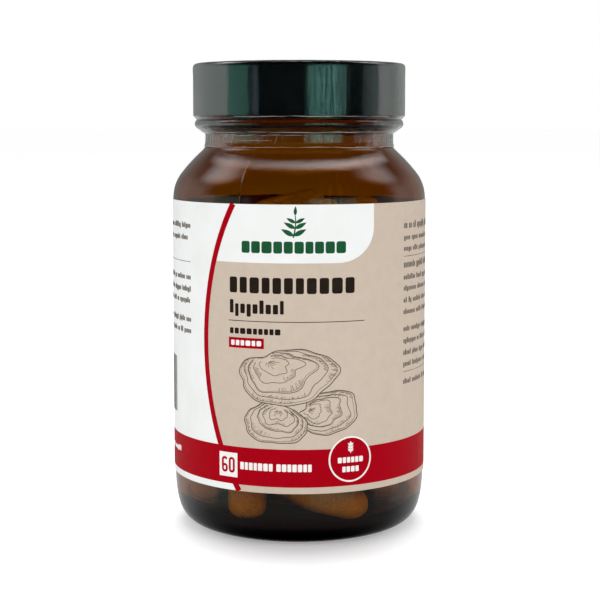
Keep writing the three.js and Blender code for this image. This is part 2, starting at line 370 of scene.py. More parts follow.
def line(start, end, steps):
    """Points along a straight stretch of a profile, both ends left out."""
    return list(zip(*(spread(a, b, steps) for a, b in zip(start, end))))[1:-1]


def around(radius, angle, z):
    """A point in metres, from a radius, an angle from the front in radians and a height."""
    return Vector((radius * math.sin(angle), -radius * math.cos(angle), z)) * MM


def even_angles(count):
    return [2 * math.pi * i / count for i in range(count)]


def turned_mesh(name, profile, angles, warp=None, closed=False):
    """Turns a profile of (radius, height) round Z. A warp may move a point: (index, r, z, angle)."""
    bm = bmesh.new()
    rings = []
    for index, (r, z) in enumerate(profile):
        if r < 1e-6:
            rings.append([bm.verts.new(around(0, 0, z))])
            continue
        spots = [warp(index, r, z, a) if warp else (r, z) for a in angles]
        rings.append([bm.verts.new(around(rr, a, zz)) for (rr, zz), a in zip(spots, angles)])
    follows = rings[1:] + rings[:1] if closed else rings[1:]
    for low, high in zip(rings, follows):
        for k in range(len(angles)):
            m = (k + 1) % len(angles)
            corners = [low[k % len(low)], low[m % len(low)], high[m % len(high)], high[k % len(high)]]
            corners = list(dict.fromkeys(corners))
            if len(corners) > 2:
                bm.faces.new(corners)
    return mesh_from(bm, name)


def join_rows(bm, rows):
    """Joins loops of points, one after the other, into a closed tube with flat ends."""
    for row, following in zip(rows, rows[1:]):
        for k in range(len(row)):
            m = (k + 1) % len(row)
            bm.faces.new((row[k], row[m], following[m], following[k]))
    bm.faces.new(rows[0][::-1])
    bm.faces.new(rows[-1])


def mesh_from(bm, name, smooth=True):
    """A mesh with its faces turned outwards and smooth shading up to the sharp angle."""
    bmesh.ops.recalc_face_normals(bm, faces=bm.faces)
    mesh = bpy.data.meshes.new(name)
    bm.to_mesh(mesh)
    bm.free()
    if smooth:
        mesh.shade_smooth()
        mesh.set_sharp_from_angle(angle=math.radians(SHARP_ANGLE))
    return mesh


def add_piece(name, mesh, material, slot, *nodes):
    """Shows a mesh as a piece of the object, in place of the CAD nodes that it stands for."""
    piece = bpy.data.objects.new(name, mesh)
    bpy.context.scene.collection.objects.link(piece)
    mesh.materials.append(material)
    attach(piece, "root")
    if nodes:
        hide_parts(*nodes)
    return piece


# ---- bottle

def shoulder_outline(inset, steps):
    """Body wall to neck: a tight arc, a gentle one and a hollow fillet, moved inwards by the inset."""
    tight_end = math.radians(SHOULDER_ANGLE)
    tight_r = BODY_R - SHOULDER_R
    gentle_r = tight_r + (SHOULDER_R - SLOPE_R) * math.cos(tight_end)
    gentle_z = SHOULDER_Z + (SHOULDER_R - SLOPE_R) * math.sin(tight_end)
    reach = SLOPE_R + NECK_FILLET
    gentle_end = math.acos((NECK_R + NECK_FILLET - gentle_r) / reach)
    fillet_z = gentle_z + reach * math.sin(gentle_end)
    turn = math.degrees(gentle_end)
    return [
        *arc(tight_r, SHOULDER_Z, SHOULDER_R - inset, 0, SHOULDER_ANGLE, steps),
        *arc(gentle_r, gentle_z, SLOPE_R - inset, SHOULDER_ANGLE, turn, 5)[1:],
        *arc(NECK_R + NECK_FILLET, fillet_z, NECK_FILLET + inset, 180 + turn, 180, steps)[1:],
    ]


def heel_outline(steps):
    """A quarter of a superellipse, from the flat foot out to the body wall."""
    points = []
    for i in range(steps + 1):
        angle = math.pi / 2 * (1 - i / steps)
        out = math.cos(angle) ** (2 / HEEL_POWER)
        down = math.sin(angle) ** (2 / HEEL_POWER)
        points.append((HEEL_FOOT_R + (BODY_R - HEEL_FOOT_R) * out, HEEL_H * (1 - down)))
    return points


def bead_outline(steps):
    """The hollow fillet under the bead, and the bead's round edge."""
    bead_z = BEAD_TOP_Z - BEAD_ROUND
    fillet_z = bead_z - BEAD_ROUND - BEAD_FILLET
    hollow = arc(NECK_R + BEAD_FILLET, fillet_z, BEAD_FILLET, 180, 90, steps)
    bead = arc(BEAD_R - BEAD_ROUND, bead_z, BEAD_ROUND, -90, 90, 2 * steps)
    return hollow + bead[1:]


def bottle_profile():
    """The outer outline from the middle of the base to the lip, then the inner one back down."""
    push_up_r = (FOOT_INNER_R ** 2 + PUSH_UP ** 2) / (2 * PUSH_UP)
    push_up_angle = math.degrees(math.asin(FOOT_INNER_R / push_up_r))
    inner_r = BODY_R - WALL
    bore_r = NECK_R - WALL
    floor_r = inner_r - INNER_HEEL_R
    heel = heel_outline(28)
    shoulder = shoulder_outline(0, 12)
    outer = [
        *arc(0, PUSH_UP - push_up_r, push_up_r, 90, 90 - push_up_angle, 10),
        *heel,
        *line(heel[-1], shoulder[0], 12),
        *shoulder,
        *bead_outline(6),
        (FINISH_R, BEAD_TOP_Z),
        *arc(FINISH_R - LIP_ROUND, LIP_Z - LIP_ROUND, LIP_ROUND, 0, 90, 6),
    ]
    inner_shoulder = shoulder_outline(WALL, 12)[::-1]
    inner_heel = arc(floor_r, FLOOR_Z + INNER_HEEL_R, INNER_HEEL_R, 0, -90, 14)
    inner = [
        *arc(bore_r + LIP_ROUND, LIP_Z - LIP_ROUND, LIP_ROUND, 90, 180, 6),
        *inner_shoulder,
        *line(inner_shoulder[-1], inner_heel[0], 12),
        *inner_heel,
        *line(inner_heel[-1], (0, FLOOR_Z + FLOOR_CROWN), 6),
        (0, FLOOR_Z + FLOOR_CROWN),
    ]
    return outer, inner


def bottle_angles():
    """Even steps, with finer ones across the two mould seams."""
    angles = set(even_angles(180))
    for seam in SEAM_ANGLES:
        angles |= {math.radians((seam + 0.2 * k) % 360) for k in range(-4, 5)}
    return sorted(angles)


def make_bottle():
    outer, inner = bottle_profile()

    def glass(index, r, z, angle):
        spot = around(r, angle, z) / MM
        if index >= len(outer):
            # The inner wall of blown glass is uneven, in bumps of these sizes and heights.
            if FLOOR_Z + INNER_HEEL_R < z < BEAD_TOP_Z:
                r += sum(height * noise.noise(spot / size) for size, height in UNEVEN)
            off = math.degrees(angle) - RIPPLE_ANGLE
            run = hump(off, RIPPLE_SWEEP) * hump(z - SHOULDER_Z - 2, RIPPLE_TALL)
            return r + RIPPLE_H * run * math.cos(math.radians(off * RIPPLE_RATE)), z
        if BASE_SEAM_Z < z < BEAD_TOP_Z:
            for seam in SEAM_ANGLES:
                off = (math.degrees(angle) - seam + 180) % 360 - 180
                r += SEAM_H * hump(off, SEAM_WIDTH)
        if 0.5 < z < 8:
            r += BASE_SEAM_H * hump(z - BASE_SEAM_Z, BASE_SEAM_WIDTH)
        return r, z

    mesh = turned_mesh("bottle", outer + inner, bottle_angles(), warp=glass)
    add_piece("bottle_glass", mesh, amber_glass(), "amber_glass", "bottle")


# ---- cap and liner

def make_cap():
    corner_r = CAP_R - CAP_EDGE_ROUND
    corner_z = CAP_TOP_Z - CAP_EDGE_ROUND
    bore_r = CAP_R - CAP_WALL
    roof_z = CAP_TOP_Z - CAP_ROOF
    lip, inside = CAP_LIP_ROUND, CAP_BORE_ROUND
    profile = [
        (0, roof_z),
        (bore_r - inside, roof_z),
        *arc(bore_r - inside, roof_z - inside, inside, 90, 0, 3),
        (bore_r, CAP_LOW_Z + lip),
        *arc(bore_r + lip, CAP_LOW_Z + lip, lip, 180, 270, 3),
        *arc(CAP_R - lip, CAP_LOW_Z + lip, lip, -90, 0, 4),
        *line((CAP_R, CAP_LOW_Z + lip), (CAP_R, corner_z), 4),
        *arc(corner_r, corner_z, CAP_EDGE_ROUND, 0, 90, 8),
        (corner_r - 0.5, CAP_TOP_Z),
        (corner_r / 2, CAP_TOP_Z),
        (0, CAP_TOP_Z),
    ]
    mesh = turned_mesh("screw_cap", profile, even_angles(180))
    add_piece("cap_black", mesh, cap_plastic(), "cap_plastic", "screw_cap")


def make_liner():
    low, high = node_bottom("cap_liner"), node_top("cap_liner")
    radius = node_radius("cap_liner")
    edge = LINER_ROUND
    profile = [
        (0, low),
        (radius - edge, low),
        *arc(radius - edge, low + edge, edge, -90, 0, 3)[1:],
        *arc(radius - edge, high - edge, edge, 0, 90, 3),
        (0, high),
    ]
    mesh = turned_mesh("liner", profile, even_angles(96))
    add_piece("liner_disc", mesh, liner_foam(), "liner_foam", "cap_liner")


# ---- shrink band

def film_outline(offset):
    """One face of the film: from its rim on the cap, down the side, over the bead to the neck."""
    corner_r = CAP_R - CAP_EDGE_ROUND
    corner_z = CAP_TOP_Z - CAP_EDGE_ROUND
    bead_z = BEAD_TOP_Z - BEAD_ROUND
    rim = (FILM_LIP_R, CAP_TOP_Z + offset)
    corner = arc(corner_r, corner_z, CAP_EDGE_ROUND + offset, 90, 0, 8)
    side = (CAP_R + offset, CAP_LOW_Z)
    bead = arc(BEAD_R - BEAD_ROUND, bead_z, BEAD_ROUND + offset, 45, -45, 8)
    neck = (NECK_R + offset, FILM_NECK_Z)
    fillet_r = NECK_R + NECK_FILLET
    fillet_z = shoulder_outline(0, 12)[-1][1]
    hem = arc(fillet_r, fillet_z, NECK_FILLET - offset, 180, 180 + FILM_HEM_ANGLE, 8)
    return [
        rim, *line(rim, corner[0], 10), *corner, *line(corner[-1], side, 12), side,
        *line(side, bead[0], 4), *bead, *line(bead[-1], neck, 6), neck,
        *line(neck, hem[0], 4), *hem,
    ]


def make_shrink_band():
    inner = film_outline(FILM_GAP)
    outer = film_outline(FILM_GAP + FILM)

    def crimped(index, r, z, angle):
        """Pleats on the cap's top, a rolled bulge at its edge and crimps where the film is drawn in."""
        spot = Vector((math.sin(angle), math.cos(angle), 0))
        fine = 0.5 + noise.noise(spot * 16 + Vector((0, 0, z / 9)))
        wide = 0.5 + noise.noise(spot * 5 + Vector((0, 0, z / 3)))
        if z > CAP_TOP_Z:
            inwards = max(0.0, min(1.0, (CAP_R - r) / FILM_PLEAT_REACH))
            return r, z + inwards * (0.1 * fine ** 2 + 0.08 * wide)
        if z > CAP_TOP_Z - 2 * FILM_ROLL_DROP:
            bulge = hump(z - CAP_TOP_Z + FILM_ROLL_DROP, FILM_ROLL_WIDTH)
            return r + FILM_ROLL_H * bulge * (0.6 + 0.8 * wide), z
        if z > CAP_LOW_Z:
            return r + 0.015 * fine, z
        below = min(1.0, (CAP_LOW_Z - z) / 2)
        return r + below * (0.1 * fine + 0.12 * wide), z + below * 0.1 * (wide - 0.5)

    mesh = turned_mesh("film", inner + outer[::-1], even_angles(360), warp=crimped, closed=True)
    add_piece("film_clear", mesh, shrink_film(), "shrink_film", "shrink_band")


def add_crease(bm, points, thick):
    """A fine tapering thread of creased film along points of (radius, angle, height)."""
    rings = []
    for i, (r, angle, z) in enumerate(points):
        width = thick * math.sin(math.pi * (i + 0.5) / len(points)) ** 0.5
        turns = [(width * math.cos(t), width * math.sin(t)) for t in even_angles(CREASE_SIDES)]
        rings.append([bm.verts.new(around(r + out, angle, z + up)) for out, up in turns])
    join_rows(bm, rings)


# Broken creases round the neck: height, how far out from the film on the neck, thickness and how much
# of the way round they go. The first one lies under the cap instead.
NECK_CREASES = ((CAP_LOW_Z - 0.2, None, 0.05, 0.7), (88.0, 0.95, 0.05, 0.6),
                (87.3, 0.14, 0.035, 0.35), (86.2, 0.2, 0.03, 0.3))
NECK_PLEATS = 90
TOP_PLEATS = 70


def crease_round(bm, rng, r, z, start, sweep, thick, sway):
    """A wavering crease round the neck, from an angle over a sweep."""
    count = max(6, int(sweep / 0.02))
    phase = rng.uniform(0, 50)
    points = []
    for i in range(count + 1):
        a = start + sweep * i / count
        wave = noise.noise(Vector((4 * a + phase, 0, z))) + 0.5 * noise.noise(Vector((13 * a, phase, z)))
        points.append((r + 0.04 * wave, a, z + sway * wave))
    add_crease(bm, points, thick)


def make_creases():
    """The film's cut hem, the broken creases over and under the bead, and the small pleats."""
    rng = random.Random(3)
    bm = bmesh.new()
    skin = FILM_GAP + FILM
    film_neck_r = NECK_R + skin
    hem_r, hem_z = film_outline(skin)[-1]
    at = 0.0
    while at < 2 * math.pi:
        sweep = rng.uniform(0.15, 0.9)
        thick = rng.uniform(0.03, 0.08)
        crease_round(bm, rng, hem_r + 0.12, hem_z + 0.05, at, sweep, thick, 0.16)
        at += sweep
    for z, out, thick, share in NECK_CREASES:
        r = CAP_R - 0.05 if out is None else film_neck_r + out
        at = rng.uniform(0, 0.5)
        while at < 2 * math.pi:
            sweep = rng.uniform(0.1, 0.6)
            if rng.random() < share:
                height = z + rng.uniform(-0.1, 0.1)
                crease_round(bm, rng, r, height, at, sweep, thick * rng.uniform(0.6, 1.2), 0.14)
            at += sweep
    for _ in range(NECK_PLEATS):
        start, lean = rng.uniform(0, 2 * math.pi), rng.uniform(-0.05, 0.05)
        low, high = rng.uniform(85.1, 86.2), rng.uniform(86.4, 87.6)
        r = film_neck_r + 0.17
        points = [(r, start + lean * i / 6, low + (high - low) * i / 6) for i in range(7)]
        add_crease(bm, points, rng.uniform(0.015, 0.035))
    rim_r = CAP_R - CAP_EDGE_ROUND
    for _ in range(TOP_PLEATS):
        start, lean = rng.uniform(0, 2 * math.pi), rng.uniform(-0.012, 0.012)
        inner = rng.uniform(FILM_LIP_R + 0.3, FILM_LIP_R + 2)
        top = CAP_TOP_Z + skin + 0.03
        points = [(inner + (rim_r - inner) * i / 5, start + lean * i, top) for i in range(6)]
        add_crease(bm, points, rng.uniform(0.012, 0.025))
    # The pale threads are partly milky creased film and partly painted highlight.
    add_piece("film_creases", mesh_from(bm, "film_creases"), film_crease_and_highlight(), "shrink_film")


# ---- label

LABEL_LEFT = (GAP_ANGLE - 360) * math.pi / 180 * LABEL_R + GAP_WIDTH / 2
LABEL_RIGHT = GAP_ANGLE * math.pi / 180 * LABEL_R - GAP_WIDTH / 2


def make_paper(material):
    """The paper: a closed skin that wraps the body and leaves the gap at the back open."""
    first = LABEL_LEFT / LABEL_R
    last = LABEL_RIGHT / LABEL_R
    inside = [k * PRINT_STEP for k in range(math.ceil(first / PRINT_STEP), math.ceil(last / PRINT_STEP))]
    angles = [first, *inside, last]
    bm = bmesh.new()
    edge = 0.03
    section = [
        (LABEL_R - PAPER, LABEL_LOW_Z),
        (LABEL_R - edge, LABEL_LOW_Z),
        (LABEL_R, LABEL_LOW_Z + edge),
        (LABEL_R, LABEL_TOP_Z - edge),
        (LABEL_R - edge, LABEL_TOP_Z),
        (LABEL_R - PAPER, LABEL_TOP_Z),
    ]
    join_rows(bm, [[bm.verts.new(around(r, a, z)) for r, z in section] for a in angles])
    add_piece("label_paper", mesh_from(bm, "label_paper"), material, "label_paper", "label")


def print_ink(name, polygons, level, material):
    """Prints flat polygons of (along, height) on the label, as one thin closed layer of ink."""
    flat = bmesh.new()
    for points in polygons:
        face = flat.faces.new([flat.verts.new((s, z, 0)) for s, z in points])
        face.normal_update()
        if face.normal.z < 0:
            face.normal_flip()
    bmesh.ops.remove_doubles(flat, verts=flat.verts, dist=1e-4)
    bmesh.ops.triangulate(flat, faces=flat.faces)
    step = PRINT_STEP * LABEL_R
    reach = [v.co.x for v in flat.verts]
    for k in range(math.ceil(min(reach) / step), math.floor(max(reach) / step) + 1):
        everything = [*flat.verts, *flat.edges, *flat.faces]
        bmesh.ops.bisect_plane(
            flat, geom=everything, dist=1e-5, plane_co=(k * step, 0, 0), plane_no=(1, 0, 0)
        )
    bm = bmesh.new()
    top = LABEL_R + level * INK
    low = LABEL_R - INK / 2
    upper = {v: bm.verts.new(around(top, v.co.x / LABEL_R, v.co.y)) for v in flat.verts}
    lower = {v: bm.verts.new(around(low, v.co.x / LABEL_R, v.co.y)) for v in flat.verts}
    for face in flat.faces:
        bm.faces.new([upper[v] for v in face.verts])
        bm.faces.new([lower[v] for v in reversed(face.verts)])
        for loop in face.loops:
            if len(loop.edge.link_faces) == 1:
                a, b = loop.vert, loop.link_loop_next.vert
                bm.faces.new((upper[a], lower[a], lower[b], upper[b]))
    flat.free()
    mesh = bpy.data.meshes.new(name)
    bm.to_mesh(mesh)
    bm.free()
    return add_piece(name, mesh, material, "label_paper")


def rectangle(left, low, right, high, radius=0.0):
    """A rectangle, with round corners where a radius is given."""
    if not radius:
        return [(left, low), (right, low), (right, high), (left, high)]
    corners = [(right - radius, low + radius, -90), (right - radius, high - radius, 0),
               (left + radius, high - radius, 90), (left + radius, low + radius, 180)]
    points = []
    for s, z, start in corners:
        points += arc(s, z, radius, start, start + 90, 4)
    return points


def ellipse(s, z, across, up, steps=32):
    return [(s + across * math.cos(a), z + up * math.sin(a)) for a in even_angles(steps)]


def ribbon(points, width, closed=False):
    """A stroke along points as four-sided polygons. Width is a number or a function of 0 to 1."""
    count = len(points)
    sides = []
    for i, (s, z) in enumerate(points):
        before = points[i - 1] if i or closed else points[0]
        after = points[(i + 1) % count] if i + 1 < count or closed else points[-1]
        ds, dz = after[0] - before[0], after[1] - before[1]
        length = math.hypot(ds, dz) or 1.0
        half = (width(i / (count - 1)) if callable(width) else width) / 2
        sides.append(((s - dz / length * half, z + ds / length * half),
                      (s + dz / length * half, z - ds / length * half)))
    follows = sides[1:] + sides[:1] if closed else sides[1:]
    return [[a[0], a[1], b[1], b[0]] for a, b in zip(sides, follows)]


# Which blocks of a lively word are taller and which are deeper, by a random number from 0 to 1.
TALLER_BELOW, DEEPER_ABOVE = 0.28, 0.86
BLOCK_ROUND = 0.22
WORD_LENGTHS = (2, 4, 5, 7, 8, 9)
LETTER_GAP, WORD_GAP = 0.13, 0.75


def blocks(left, right, low, height, letter, gap, rng, lively=0.0):
    """One word as a row of plain blocks. A lively word has some taller and some deeper ones."""
    count = max(1, round((right - left + gap) / (letter + gap)))
    widths = [rng.uniform(0.8, 1.2) for _ in range(count)]
    scale = (right - left - gap * (count - 1)) / sum(widths)
    shapes, at = [], left
    for w in widths:
        bottom, top = low, low + height
        chance = rng.random()
        if chance < TALLER_BELOW:
            top += lively * height
        elif chance > DEEPER_ABOVE:
            bottom -= lively * height * 0.8
        radius = min(BLOCK_ROUND * w * scale, BLOCK_ROUND * height)
        shapes.append(rectangle(at, bottom, at + w * scale, top, radius))
        at += w * scale + gap
    return shapes


def text_line(left, right, low, rng, height=0.85, letter=0.55):
    """A line of running text: words of plain blocks with gaps between them."""
    shapes, at = [], left
    while at < right - 2 * letter:
        end = min(at + rng.choice(WORD_LENGTHS) * letter * 1.15, right)
        shapes += blocks(at, end, low, height, letter, LETTER_GAP, rng, lively=0.4)
        at = end + WORD_GAP
    return shapes


# The stripe is an arc that bows to the left. Everything right of it, under the white panel, is taupe.
STRIPE_MIDDLE = (39.3, 43.6)
STRIPE_R = 61.3
STRIPE_WIDTH = 1.3
PANEL_RIGHT = 16.7
PANEL_LOW_Z = 60.85
PANEL_CORNER = (8.3, 7.4)
BAND = (13.4, 21.5)
BADGE = (11.2, 19.1)
BADGE_R = 4.75

# Rectangles: left, low, right and high edges.
TAG = (-15.6, 42.75, -7.45, 44.95)
RULE = (-15.6, 48.45, 14.4, 48.6)
NUMBER_SQUARE = (-18.2, 14.85, -13.6, 20.1)

# Words: left, right and low edges, height, letter width and the gap between letters.
EMBLEM_WORD = (-12.4, 10.0, 62.9, 2.5, 2.0, 0.34)
HEADING = (-15.3, 12.0, 54.45, 3.35, 1.9, 0.62)
SECOND_LINE = (-15.3, -3.2, 50.15, 2.0, 1.05, 0.42)
SMALL_LINE = (-15.3, -3.9, 45.75, 1.25, 0.95, 0.3)
NUMBER_WORDS = ((-12.9, -5.6, 16.75, 1.6, 0.85, 0.22), (-4.8, 2.65, 16.75, 1.6, 0.85, 0.22))
TAG_WORD = (-15.0, -8.05, 43.3, 1.1, 0.8, 0.32)

# Columns of running text and ruled lines: left and right edges.
RIGHT_COLUMN = (26.0, 58.0)
TABLE_COLUMN = (64.0, 81.0)
LEFT_COLUMN = (-62.0, -27.5)
FAR_COLUMN = (-88.0, -68.0)
LINE_H = 0.12


def stripe_at(z):
    return STRIPE_MIDDLE[0] - math.sqrt(STRIPE_R ** 2 - (z - STRIPE_MIDDLE[1]) ** 2)


def stripe_points(low, high, steps):
    return [(stripe_at(z), z) for z in spread(low, high, steps)]


def print_fields():
    """The taupe field, the red band round the bottom and the stripe."""
    taupe = printing_ink("ink_taupe", "cbbcac", "c6b6a6")
    red = printing_ink("ink_red", "a80016", "a00012")
    corner_s, corner_z = PANEL_CORNER
    panel_corner = [
        (PANEL_RIGHT - corner_s + corner_s * math.cos(a), PANEL_LOW_Z + corner_z - corner_z * math.sin(a))
        for a in [math.pi / 2 * (1 - i / 20) for i in range(21)]
    ]
    edge = 0.02
    low, high = LABEL_LOW_Z + edge, LABEL_TOP_Z - edge
    right = LABEL_RIGHT - edge
    under_panel = [
        *stripe_points(low, PANEL_LOW_Z, 40), *panel_corner,
        (PANEL_RIGHT, high), (right, high), (right, low),
    ]
    print_ink("print_taupe", [under_panel[::-1]], 1, taupe)
    stripe = ribbon(stripe_points(low, high, 60), STRIPE_WIDTH)
    band = rectangle(LABEL_LEFT + edge, BAND[0], right, BAND[1])
    print_ink("print_band", [band, rectangle(*TAG)], 2, red)
    print_ink("print_stripe", [*stripe, ellipse(*BADGE, BADGE_R, BADGE_R, 48)], 3, red)
    return red


def digit_shapes(left, low, height, stroke):
    """The number 60 in a bold narrow hand: the two outlines' middle lines, drawn with a stroke."""
    half = height * 0.15
    bowl = height * 0.28
    middle = left + half + stroke / 2
    bottom, top = low + stroke / 2, low + height - stroke / 2
    lower_bowl = rectangle(middle - half, bottom, middle + half, bottom + 2 * bowl - stroke, half)
    back = [(middle - half, bottom + bowl), (middle - half, top - half)]
    back += arc(middle, top - half, half, 180, 20, 12)
    shapes = ribbon(back, stroke)
    middle += 2 * half + stroke * 1.55
    nought = rectangle(middle - half, bottom, middle + half, top, half)
    return shapes, ribbon(lower_bowl, stroke, closed=True) + ribbon(nought, stroke, closed=True)


def leaf(s, z, length, angle, width=0.34):
    """A pointed leaf from its stalk end, at an angle from the right, in degrees."""
    a = math.radians(angle)
    along, across = (math.cos(a), math.sin(a)), (-math.sin(a), math.cos(a))
    points = []
    for side in (1, -1):
        steps = range(10) if side > 0 else range(10, 0, -1)
        for i in steps:
            t = i / 10
            out = side * length * width * math.sin(math.pi * t ** 0.8) / 2
            points.append((s + along[0] * t * length + across[0] * out,
                           z + along[1] * t * length + across[1] * out))
    return points


def print_emblem(rng):
    """A plain leaf sprig over a word of plain blocks, on the white panel."""
    green = printing_ink("ink_green", "1f5a38", "1a4e30")
    stem = [(-1.2 + 0.5 * math.sin(t * 2.2), 66.2 + 4.6 * t) for t in [i / 12 for i in range(13)]]
    shapes = ribbon(stem, lambda t: 0.34 - 0.16 * t)
    for t, length in ((0.12, 3.0), (0.4, 2.7), (0.68, 2.2)):
        s, z = stem[round(t * 12)]
        shapes += [leaf(s, z, length, 28), leaf(s, z, length, 152)]
    shapes.append(leaf(*stem[-1], 2.0, 88))
    shapes += blocks(*EMBLEM_WORD, rng)
    print_ink("print_green", shapes, 1, green)


def print_headings(rng):
    """The heading, the second line, the rule and the small line, as plain blocks and bars."""
    black = printing_ink("ink_black", "2a211b", "1f1814")
    shapes = blocks(*HEADING, rng)
    shapes += blocks(*SECOND_LINE, rng, lively=0.42)
    shapes.append(rectangle(*RULE))
    shapes += blocks(*SMALL_LINE, rng)
    return black, shapes


def ruled(column, z):
    """A thin line across a column."""
    return rectangle(column[0], z, column[1], z + LINE_H)


# The lines of the right column as (height, bold), and of the left one as (height, indent).
RIGHT_LINES = ((67.4, 1), (64.9, 0), (62.5, 0), (58.9, 1), (56.3, 0), (53.9, 0), (51.3, 0), (48.8, 0),
               (45.1, 0), (42.5, 0), (39.9, 0), (37.4, 0), (33.6, 0))
LEFT_LINES = ((67.4, 0), (64.8, 6), (56.2, 0), (53.6, 0), (51.1, 12), (47.0, 0), (44.5, 4))
BARS_LEFT, BARS_RIGHT, BARS_LOW, BARS_HIGH = -60.0, -36.0, 26.0, 38.5


def small_text(rng):
    """Running text on both sides of the front, a ruled table and a striped block, all generic."""
    shapes = []
    left, right = RIGHT_COLUMN
    for low, bold in RIGHT_LINES:
        end = right - rng.choice((0, 0, 0, 3, 9))
        shapes += text_line(left, end, low, rng, height=1.1 if bold else 0.85)
    shapes += [ruled(RIGHT_COLUMN, z) for z in (61.3, 36.2)]
    left, right = LEFT_COLUMN
    for low, indent in LEFT_LINES:
        shapes += text_line(left + indent, right, low, rng)
    shapes.append(ruled(LEFT_COLUMN, 60.0))
    at = BARS_LEFT
    while at < BARS_RIGHT:
        wide = rng.choice((0.25, 0.25, 0.5, 0.75))
        shapes.append(rectangle(at, BARS_LOW, at + wide, BARS_HIGH))
        at += wide + rng.choice((0.25, 0.35, 0.6))
    left, right = TABLE_COLUMN
    for row in range(12):
        low = 66.8 - 3.6 * row
        shapes += text_line(left, right - 5, low, rng)
        shapes += text_line(right - 3.5, right, low, rng)
        shapes.append(ruled(TABLE_COLUMN, low - 1.0))
    left, right = FAR_COLUMN
    for row in range(9):
        shapes += text_line(left, right - rng.choice((0, 0, 4)), 66.8 - 2.6 * row, rng)
    return shapes


def grain_ear(s, low, height):
    """A small ear of grain: a stalk, pairs of kernels and a top one."""
    shapes = ribbon([(s, low), (s, low + height * 0.8)], 0.16)
    for row in range(3):
        z = low + height * (0.12 + 0.24 * row)
        shapes += [leaf(s, z, height * 0.36, 48, 0.5), leaf(s, z, height * 0.36, 132, 0.5)]
    shapes.append(leaf(s, low + height * 0.66, height * 0.36, 90, 0.5))
    return shapes


def print_white(red, rng):
    """What is white on red: the number's square, the line beside it and the badge."""
    white = printing_ink("ink_white", "f6f2f0", "efe9e7")
    shapes = [rectangle(*NUMBER_SQUARE)]
    for word in (*NUMBER_WORDS, TAG_WORD):
        shapes += blocks(*word, rng)
    shapes += text_line(-58.0, -33.0, 17.6, rng)
    shapes += text_line(-58.0, -41.0, 15.4, rng)
    s, z = BADGE
    ring = ellipse(s, z, BADGE_R, BADGE_R, 64)
    shapes += ribbon(ring, 0.36, closed=True)
    shapes += grain_ear(s, z + 1.3, 2.5)
    for half, below in ((2.9, 0.75), (1.9, 2.75)):
        shapes += blocks(s - half, s + half, z - below, 1.2, 0.85, 0.2, rng)
    print_ink("print_white", shapes, 4, white)
    back, bowls = digit_shapes(-17.55, 15.75, 3.4, 0.5)
    print_ink("print_digits", bowls, 5, red)
    print_ink("print_digit_back", back, 6, red)


# The fungus's growth lines, as (how far from the hub to the rim, stroke width), and the hatched ones.
GROWTH_LINES = ((0.95, 0.08), (0.84, 0.14), (0.66, 0.14), (0.63, 0.07), (0.48, 0.13), (0.3, 0.12))
HATCHED = (0.98, 0.84, 0.66, 0.48)


class Fungus:
    """A bracket fungus in line: a lobed cap grown outwards from a hub near its upper edge."""

    def __init__(self, middle, across, up, turn, hub, phase):
        self.middle, self.across, self.up = middle, across, up
        self.turn, self.hub, self.phase = math.radians(turn), hub, phase
        self.hub_angle = math.atan2(hub[1], hub[0])

    def point(self, angle, share):
        """A point on the growth line at that share of the way from the hub to the rim."""
        p = self.phase
        rim = 1 + 0.05 * math.sin(3 * angle + p) + 0.035 * math.sin(5 * angle + 2.3 * p)
        rim += 0.014 * math.sin(11 * angle + 1.7 * p)
        notch = (angle - self.hub_angle + math.pi) % (2 * math.pi) - math.pi
        rim -= 0.12 * hump(notch, 0.22)
        ridge = noise.noise(Vector((1.6 * math.cos(angle), 1.6 * math.sin(angle), 3 * share + p)))
        reach = share + 0.5 * ridge * share * (1 - share)
        s = self.hub[0] + (rim * math.cos(angle) - self.hub[0]) * reach
        z = self.hub[1] + (rim * math.sin(angle) - self.hub[1]) * reach
        s, z = s * self.across, z * self.up
        cos, sin = math.cos(self.turn), math.sin(self.turn)
        return self.middle[0] + s * cos - z * sin, self.middle[1] + s * sin + z * cos

    def curve(self, share, start=0.0, end=2 * math.pi, steps=150):
        return [self.point(angle, share) for angle in spread(start, end, steps)]

    def covers(self, s, z):
        """Whether a point lies inside the rim."""
        inside = False
        outline = self.curve(1.0, steps=60)
        for (s0, z0), (s1, z1) in zip(outline, outline[1:]):
            if (z0 > z) != (z1 > z) and s < s0 + (z - z0) / (z1 - z0) * (s1 - s0):
                inside = not inside
        return inside

    def strokes(self, rng):
        """(points, width) of every line of the drawing."""
        lines = [(self.curve(1.0), 0.2)]
        for share, width in GROWTH_LINES:
            start = self.hub_angle + rng.uniform(0.25, 0.6)
            end = self.hub_angle + 2 * math.pi - rng.uniform(0.25, 0.6)
            lines.append((self.curve(share, start, end, 130), width))
        for share in HATCHED:
            lines += self.hatching(share, rng)
        for k in range(7):
            angle = self.hub_angle + math.pi + (k - 3) * 0.5 + rng.uniform(-0.15, 0.15)
            fold = [self.point(angle + 0.02 * i, 0.03 + 0.03 * i) for i in range(4 + k % 3)]
            lines.append((fold, 0.09))
        return lines

    def hatching(self, share, rng):
        """Short strokes inwards from a growth line, in patches."""
        lines, angle = [], 0.0
        while angle < 2 * math.pi:
            if math.sin(3 * angle + 7 * share + self.phase) > 0.1:
                length = 0.05 + 0.05 * rng.random()
                lean = rng.uniform(-0.02, 0.04)
                points = [self.point(angle + lean * k, share - 0.01 - length * k / 3) for k in range(4)]
                lines.append((points, 0.055))
            angle += 0.36 / (share * self.across)
        return lines


